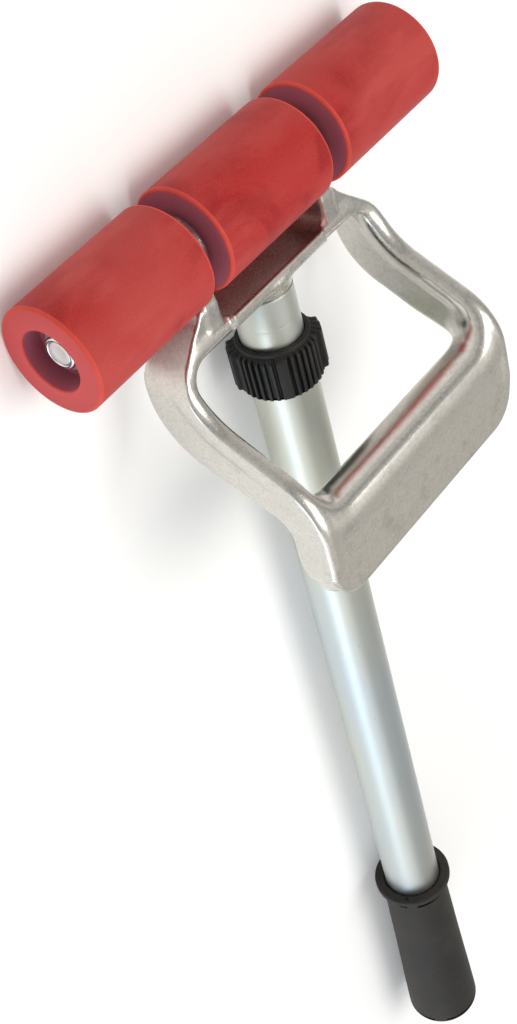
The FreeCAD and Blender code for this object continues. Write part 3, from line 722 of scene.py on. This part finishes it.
def build_collar(look, shader):
    """The twist collar: a smooth lip, a ribbed ring with one plain pad on each side, and two
    ribbed wings. Its outer radius is a function of the angle and of the distance along the tube:
    a cosine wave sharpened into ribs, limited by a cone at the front."""
    low, high = (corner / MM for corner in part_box("lock_collar"))
    start, end = low.y, high.y
    columns = look.ribs * 18
    angle = np.arange(columns) * (2 * math.pi / columns)
    depth = look.rib_depth / MM
    pads = turn_window(angle, 43, 8.5, 1.5) + turn_window(angle, 223, 8.5, 1.5)
    wings = turn_window(angle, 133, 22, 2.5) + turn_window(angle, -47, 22, 2.5)
    ribs = np.maximum(smooth(np.cos(look.ribs * (angle - math.radians(48))), -0.35, 0.45), pads)
    along = np.concatenate([start + np.array([2.2, 2.6, 3.0, 3.5, 4.1, 4.8]),
                            np.linspace(start + 6, end - 2.6, 12),
                            end - np.array([2.1, 1.7, 1.3, 0.9, 0.5, 0.25])])[:, None]
    ring = 17.3 - depth * (1 - ribs)
    ring = np.minimum(ring, 15.3 + (along - start - 1.8) * 1.15)
    ring = ring - 0.35 * smooth(along, end - 0.6, end - 0.1)
    reach = smooth(along, start + 1.6, start + 3.2) * (1 - smooth(along, end - 2.4, end - 1.2))
    wing = 19.3 - depth * (1 - ribs)
    outer = ring + np.maximum(wing - ring, 0) * wings * reach
    front = rounded_path([(start + 3.2, 13.2, 0), (start, 13.2, 0.5), (start, 15.3, 0.6),
                          (start + 1.9, 15.3, 0)], closed=False)
    back = rounded_path([(end, 16.4, 0), (end, 15.4, 0.3), (start + 3.2, 15.4, 0)], closed=False)
    rear = np.minimum(outer[-1] - 0.15, 17.0)[None]
    radius = np.vstack([np.repeat(front[:, 1:], columns, 1), outer, rear,
                        np.repeat(back[:, 1:], columns, 1)])
    rows = np.concatenate([front[:, 0], along[:, 0], [end], back[:, 0]])[:, None]
    points, faces = lathe("y", rows, radius)
    collar = mesh_object("collar_moulding", points, faces, 50)
    # Painted shade in the grooves between the ribs.
    grooves = np.vstack([np.zeros((len(front), columns)), np.tile(1 - ribs, (len(along), 1)),
                         np.zeros((1 + len(back), columns))])
    paint(collar, "groove", grooves)
    cover(collar, shader)
    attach(collar, "lock_nut")
    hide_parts("lock_collar")


def build_grip(look, shader):
    """The grip: a flange, a tapered body and a closed round end, with a blind bore for the tube.
    Behind the flange and at the end edge a thin slot runs round it, except at a bridge, where the
    radius is lifted to the body's own."""
    low, high = (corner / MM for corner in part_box("grip"))
    start, end = low.y, high.y
    back, last = start + 3.2, end - 4.1
    columns = 240
    angle = np.arange(columns) * (2 * math.pi / columns)
    slot, relief, gap = look.slot_depth / MM, look.relief / MM, look.slot_width / MM
    places = [back, start + 18, start + 31, start + 52, start + 73, start + 94, last, end]
    sizes = [16.15, 16.4, 16.7, 17.1, 17.6, 18.2, 18.6, 18.6]
    corners = [(end - 4, 0, 0), (end - 4, 14.02, 0), (start + 1.3, 14.02, 0), (start, 15.1, 0.4),
               (start, 19.5, 0.9), (back, 19.5, 0.7), (back, sizes[0] - slot, 0),
               (back + relief, sizes[0] - slot, 0)]
    corners += [(a, np.interp(a, places, sizes), 0) for a in np.linspace(back + relief, last, 40)]
    corners += [(last, sizes[-1] - slot, 0), (last + gap, sizes[-1] - slot, 0),
                (last + gap, sizes[-1], 0), (end, sizes[-1] - 0.2, 2.6), (end, 12, 0), (end, 0, 0)]
    path = rounded_path(corners, closed=False)
    behind = np.arange(len(path)) > np.argmax(path[:, 1])
    body = np.interp(path[:, 0], places, sizes) * behind * (path[:, 0] < last + gap + 0.1)
    lift = np.maximum(body - path[:, 1], 0)[:, None] * turn_window(angle, 60, 11, 1.0)
    points, faces = lathe("y", path[:, :1], path[:, 1:] + lift)
    grip = mesh_object("grip_handle", points, faces)
    x, y, z = points.T
    radius = np.hypot(x, z - AXLE_HEIGHT / MM)
    # Painted shade in the slots behind the flange and at the end edge.
    slot_shade = smooth(np.interp(y, places, sizes) - radius, 0.3, 0.8) * (radius > 14.1)
    paint(grip, "groove", slot_shade * (y > back - 0.01) * (y < last + gap + 0.01))
    cover(grip, shader)
    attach(grip, "handle")
    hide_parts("grip")
    corners = [(start + 0.2, 0, 0), (start + 0.2, 1.7, 0), (start - 0.35, 1.55, 0.15),
               (start - 0.35, 1.05, 0.1), (start - 0.02, 0.9, 0), (start - 0.02, 0, 0)]
    path = rounded_path(corners, closed=False)[::-1]
    points, faces = lathe("y", path[:, :1], np.repeat(path[:, 1:], 32, 1))
    hollow_shade = np.hypot(points[:, 0], points[:, 2] - AXLE_HEIGHT / MM) < 1.1
    turn = math.radians(65)
    points = points + np.array([math.sin(turn), 0, math.cos(turn)]) * 16.8
    mark = mesh_object("grip_mould_mark", points, faces)
    # Painted shade in the mark's hollow centre.
    paint(mark, "groove", hollow_shade * 0.8)
    cover(mark, shader)
    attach(mark, "handle")


# --- stage ---------------------------------------------------------------------------------------

def add_camera(look):
    """The camera: a place and two axes in the frame, and a lens."""
    data = bpy.data.cameras.new("camera")
    data.sensor_fit = "AUTO"
    data.sensor_width = 36.0
    data.lens = look.lens
    data.shift_x = -0.0074
    data.shift_y = -0.0623
    data.clip_start = 0.01
    data.clip_end = 20.0
    camera = bpy.data.objects.new("camera", data)
    right = Vector((-0.58757, 0.20473, 0.78285))
    up = Vector((-0.61615, -0.74033, -0.26884))
    turn = Matrix((right, up, right.cross(up))).transposed().to_4x4()
    camera.matrix_world = Matrix.Translation(look.camera) @ turn
    bpy.context.scene.collection.objects.link(camera)
    bpy.context.scene.camera = camera


def add_softbox(name, place, target, size, power, tint=(1, 1, 1)):
    """A rectangular soft light aimed at a point."""
    data = bpy.data.lights.new(name, "AREA")
    data.shape = "RECTANGLE"
    data.size, data.size_y = size
    data.energy = power
    data.color = tint
    lamp = bpy.data.objects.new(name, data)
    aim = (Vector(target) - Vector(place)).to_track_quat("-Z", "Y").to_matrix().to_4x4()
    lamp.matrix_world = Matrix.Translation(place) @ aim
    bpy.context.scene.collection.objects.link(lamp)


def add_floor(look):
    """A plain pale floor, large enough to fill the view from any side."""
    half = 12.0
    mesh = bpy.data.meshes.new("floor")
    mesh.from_pydata([(-half, -half, 0), (half, -half, 0), (half, half, 0), (-half, half, 0)],
                     [], [(0, 1, 2, 3)])
    floor = bpy.data.objects.new("floor", mesh)
    bpy.context.scene.collection.objects.link(floor)
    shader = Shader("floor")
    # The floor also glows a little: painted light that lifts its cast shadows and lights the
    # pieces from below.
    shader.set(Base_Color=colour(look.floor), Roughness=0.95, Emission_Color=colour(1.0),
               Emission_Strength=look.floor_glow)
    cover(floor, shader)


def add_world(look):
    """Soft studio air: bright overhead and at the horizon, darker in between."""
    world = bpy.data.worlds.new("studio")
    world.use_nodes = True
    tree = world.node_tree
    background = tree.nodes["Background"]
    where = tree.nodes.new("ShaderNodeTexCoord")
    split = tree.nodes.new("ShaderNodeSeparateXYZ")
    ramp = tree.nodes.new("ShaderNodeValToRGB")
    fill_ramp(ramp.color_ramp, [(0.0, (0.92, 0.91, 0.88)), (0.3, (0.86, 0.85, 0.80)),
                                (0.44, (0.46, 0.47, 0.48)), (0.57, (0.58, 0.57, 0.55)),
                                (0.85, (0.92, 0.91, 0.88))])
    tree.links.new(where.outputs["Generated"], split.inputs[0])
    tree.links.new(split.outputs["Z"], ramp.inputs["Fac"])
    tree.links.new(ramp.outputs["Color"], background.inputs["Color"])
    background.inputs["Strength"].default_value = look.air
    bpy.context.scene.world = world


# --- what a user can change ----------------------------------------------------------------------

def shade(name, description, default):
    return FloatVectorProperty(name=name, description=description, default=default,
                               size=3, min=0.0, max=1.0, subtype="COLOR")


def length(name, description, default):
    return FloatProperty(name=name, description=description, default=default, min=0.0,
                         precision=5, unit="LENGTH", subtype="DISTANCE")


class FLOORROLLER_PG_rollers(bpy.types.PropertyGroup):
    """Sizes and colours of the rubber rollers."""
    rim_radius: length("Rim radius", "Rounding of a roller's two rims", 0.0013)
    rubber: shade("Rubber", "Colour of clean rubber", srgb(176, 36, 33))
    rubber_deep: shade("Rubber, deep", "Colour of the darker clouds", srgb(156, 10, 13))
    rubber_dust: shade("Rubber, dusty", "Colour of the dusty film", srgb(186, 66, 62))
    # A painted highlight on the rims and the recess's lip.
    rubber_edge_highlight: shade("Rubber, edge", "Colour of the highlighted rims", srgb(214, 72, 58))
    # Painted light on the outer end faces.
    rubber_lit_face: shade("Rubber, end", "Colour of the outer end faces", srgb(202, 74, 78))
    # Painted shade on the inner ends, the recess walls and the bores.
    rubber_shade: shade("Rubber, inner end", "Colour of the inner ends", srgb(160, 86, 106))


class FLOORROLLER_PG_head(bpy.types.PropertyGroup):
    """Mesh pitch and colours of the cast head."""
    pitch: length("Pitch", "Spacing of the points on the cast head", 0.00085)
    metal: shade("Aluminium", "Colour of clean metal", (0.70, 0.685, 0.65))
    metal_warm: shade("Aluminium, warm", "Colour of its warmer clouds", (0.61, 0.585, 0.535))
    # Painted shade on the up-facing flat top of the bar.
    metal_flat_shade: shade("Aluminium, flat", "Colour of the bar's duller flat top",
                      (0.56, 0.53, 0.47))
    # A painted reflection of the rubber, in shade, in the trough.
    metal_painted_reflection: shade("Rubber dust", "Colour of the dust in the trough", (0.26, 0.075, 0.062))
    metal_stain: shade("Aluminium, stained", "Colour of pits and stains", (0.36, 0.33, 0.28))


class FLOORROLLER_PG_tubes(bpy.types.PropertyGroup):
    """Ring depth and colours of the plated tubes."""
    ring_depth: length("Ring depth", "Depth of the scribed ring on the inner tube", 0.00005)
    zinc: shade("Zinc", "Colour of the plating", (0.58, 0.605, 0.595))
    zinc_blue: shade("Zinc, blue", "Colour of its blue clouds", (0.53, 0.585, 0.61))
    zinc_yellow: shade("Zinc, yellow", "Colour of its yellow clouds", (0.60, 0.605, 0.52))


class FLOORROLLER_PG_collar(bpy.types.PropertyGroup):
    """Ribs and colours of the twist collar."""
    ribs: IntProperty(name="Ribs", description="Ribs round the collar", default=36, min=8, max=60)
    rib_depth: length("Rib depth", "Depth of the grooves between ribs", 0.0015)
    plastic: shade("Plastic", "Colour of the collar", (0.012, 0.011, 0.011))
    plastic_pale: shade("Plastic, pale", "Colour of its dusty clouds", (0.030, 0.028, 0.027))


class FLOORROLLER_PG_grip(bpy.types.PropertyGroup):
    """Slots and colours of the grip."""
    slot_depth: length("Slot depth", "Depth of the grip's slots", 0.0015)
    relief: length("Relief", "Width of the slot behind the flange", 0.0058)
    slot_width: length("Slot width", "Width of the slot at the end", 0.0014)
    plastic: shade("Plastic", "Colour of the grip", (0.014, 0.0125, 0.0115))
    plastic_pale: shade("Plastic, pale", "Colour of its dusty clouds", (0.038, 0.032, 0.027))


class FLOORROLLER_PG_stage(bpy.types.PropertyGroup):
    """Camera, floor and light."""
    camera: FloatVectorProperty(name="Camera", description="Place of the camera", size=3,
                                default=(0.39666, -0.35002, 0.42563), subtype="TRANSLATION")
    lens: FloatProperty(name="Lens", description="Focal length", default=62.9, unit="CAMERA")
    floor: shade("Floor", "Colour of the floor", (0.93, 0.93, 0.93))
    floor_glow: FloatProperty(name="Floor glow", description="Light given by the floor itself",
                              default=0.1, min=0.0)
    air: FloatProperty(name="Air", description="Strength of the light from all round",
                       default=0.75, min=0.0)
    key: FloatProperty(name="Key", description="Power of the soft light overhead", default=9.0,
                       min=0.0, unit="POWER")
    side: FloatProperty(name="Side", description="Power of the soft light beside the near roller",
                        default=5.5, min=0.0, unit="POWER")
    back: FloatProperty(name="Back", description="Power of the soft light beyond the grip",
                        default=3.0, min=0.0, unit="POWER")


# --- operators -----------------------------------------------------------------------------------

class FLOORROLLER_OT_head(bpy.types.Operator):
    """Builds the cast head"""
    bl_idname = "floorroller.head"
    bl_label = "Cast head"

    def execute(self, context):
        build_head(context.scene.floorroller_head)
        return {"FINISHED"}


class FLOORROLLER_OT_rollers(bpy.types.Operator):
    """Builds the three rubber rollers"""
    bl_idname = "floorroller.rollers"
    bl_label = "Rollers"

    def execute(self, context):
        look = context.scene.floorroller_rollers
        shader = red_rubber(look)
        for side in ("left", "centre", "right"):
            build_roller(side, look, shader)
        return {"FINISHED"}


class FLOORROLLER_OT_axle(bpy.types.Operator):
    """Builds the axle and its rings, and gives the bushes and washers their finish"""
    bl_idname = "floorroller.axle"
    bl_label = "Axle"

    def execute(self, context):
        build_axle(turned_steel("bright_steel", (0.72, 0.72, 0.71), 0.34))
        polished = turned_steel("polished_steel", (0.85, 0.85, 0.86), 0.16)
        for side in ("left", "right"):
            build_fastening(side, polished)
        # The bushes and the tube guide get a dark mauve: painted shade, the colour of the shaded
        # recess round the axle's end.
        bush = nylon("nylon", (0.16, 0.07, 0.10))
        washer = turned_steel("zinc_washer", (0.58, 0.60, 0.60), 0.3)
        for name, node in NODES.items():
            if name.startswith("bush") or name == "tube_guide":
                cover(node, bush)
            elif "washer" in name:
                cover(node, washer)
        return {"FINISHED"}


class FLOORROLLER_OT_tubes(bpy.types.Operator):
    """Builds the inner and outer tube"""
    bl_idname = "floorroller.tubes"
    bl_label = "Tubes"

    def execute(self, context):
        look = context.scene.floorroller_tubes
        shader = zinc_plate(look)
        build_tube("inner_tube", "head", 1.0, [55.6], look, shader)
        build_tube("outer_tube", "handle", 0.75, [], look, shader)
        return {"FINISHED"}


class FLOORROLLER_OT_collar(bpy.types.Operator):
    """Builds the twist collar and gives the sleeve under it its finish"""
    bl_idname = "floorroller.collar"
    bl_label = "Collar"

    def execute(self, context):
        look = context.scene.floorroller_collar
        shader = moulded_plastic("black_plastic", look.plastic, look.plastic_pale, 0.42, 1800,
                                 0.00006)
        build_collar(look, shader)
        cover(NODES["lock_sleeve"], moulded_plastic("sleeve_plastic", look.plastic_pale,
                                                    look.plastic_pale, 0.4, 1500, 0.00003))
        return {"FINISHED"}


class FLOORROLLER_OT_grip(bpy.types.Operator):
    """Builds the grip"""
    bl_idname = "floorroller.grip"
    bl_label = "Grip"

    def execute(self, context):
        look = context.scene.floorroller_grip
        build_grip(look, moulded_plastic("grip_plastic", look.plastic, look.plastic_pale, 0.5,
                                         900, 0.00022))
        return {"FINISHED"}


class FLOORROLLER_OT_stage(bpy.types.Operator):
    """Adds the camera, the floor and the lights"""
    bl_idname = "floorroller.stage"
    bl_label = "Stage"

    def execute(self, context):
        look = context.scene.floorroller_stage
        context.scene.view_settings.view_transform = "Standard"
        add_camera(look)
        add_world(look)
        add_floor(look)
        add_softbox("key", (-0.1, -0.1, 1.3), (0, 0.1, 0), (0.9, 0.9), look.key, (1, 0.98, 0.94))
        add_softbox("side", (1.2, 0.75, 0.32), (0, 0.1, 0), (1.5, 0.45), look.side, (0.7, 0.84, 1))
        add_softbox("back", (0.85, 1.35, 0.85), (0, 0.25, 0), (1.2, 0.9), look.back)
        return {"FINISHED"}


class FLOORROLLER_PT_sidebar(bpy.types.Panel):
    """Lists the pieces and what can be changed on each"""
    bl_label = "Floor Roller"
    bl_idname = "FLOORROLLER_PT_sidebar"
    bl_space_type = "VIEW_3D"
    bl_region_type = "UI"
    bl_category = "Floor Roller"

    def draw(self, context):
        for word, group, operator in PIECES:
            box = self.layout.box()
            box.operator(operator.bl_idname)
            look = getattr(context.scene, f"floorroller_{word}")
            for setting in group.__annotations__ if group else ():
                box.prop(look, setting)


PIECES = [
    ("head", FLOORROLLER_PG_head, FLOORROLLER_OT_head),
    ("rollers", FLOORROLLER_PG_rollers, FLOORROLLER_OT_rollers),
    ("axle", None, FLOORROLLER_OT_axle),
    ("tubes", FLOORROLLER_PG_tubes, FLOORROLLER_OT_tubes),
    ("collar", FLOORROLLER_PG_collar, FLOORROLLER_OT_collar),
    ("grip", FLOORROLLER_PG_grip, FLOORROLLER_OT_grip),
    ("stage", FLOORROLLER_PG_stage, FLOORROLLER_OT_stage),
]


def register():
    for word, group, operator in PIECES:
        if group:
            bpy.utils.register_class(group)
            setattr(bpy.types.Scene, f"floorroller_{word}", PointerProperty(type=group))
        bpy.utils.register_class(operator)
    bpy.utils.register_class(FLOORROLLER_PT_sidebar)


def unregister():
    bpy.utils.unregister_class(FLOORROLLER_PT_sidebar)
    for word, group, operator in reversed(PIECES):
        bpy.utils.unregister_class(operator)
        if group:
            delattr(bpy.types.Scene, f"floorroller_{word}")
            bpy.utils.unregister_class(group)


def main():
    register()
    for word, _, _ in PIECES:
        getattr(bpy.ops.floorroller, word)()


if __name__ == "__main__":
    main()
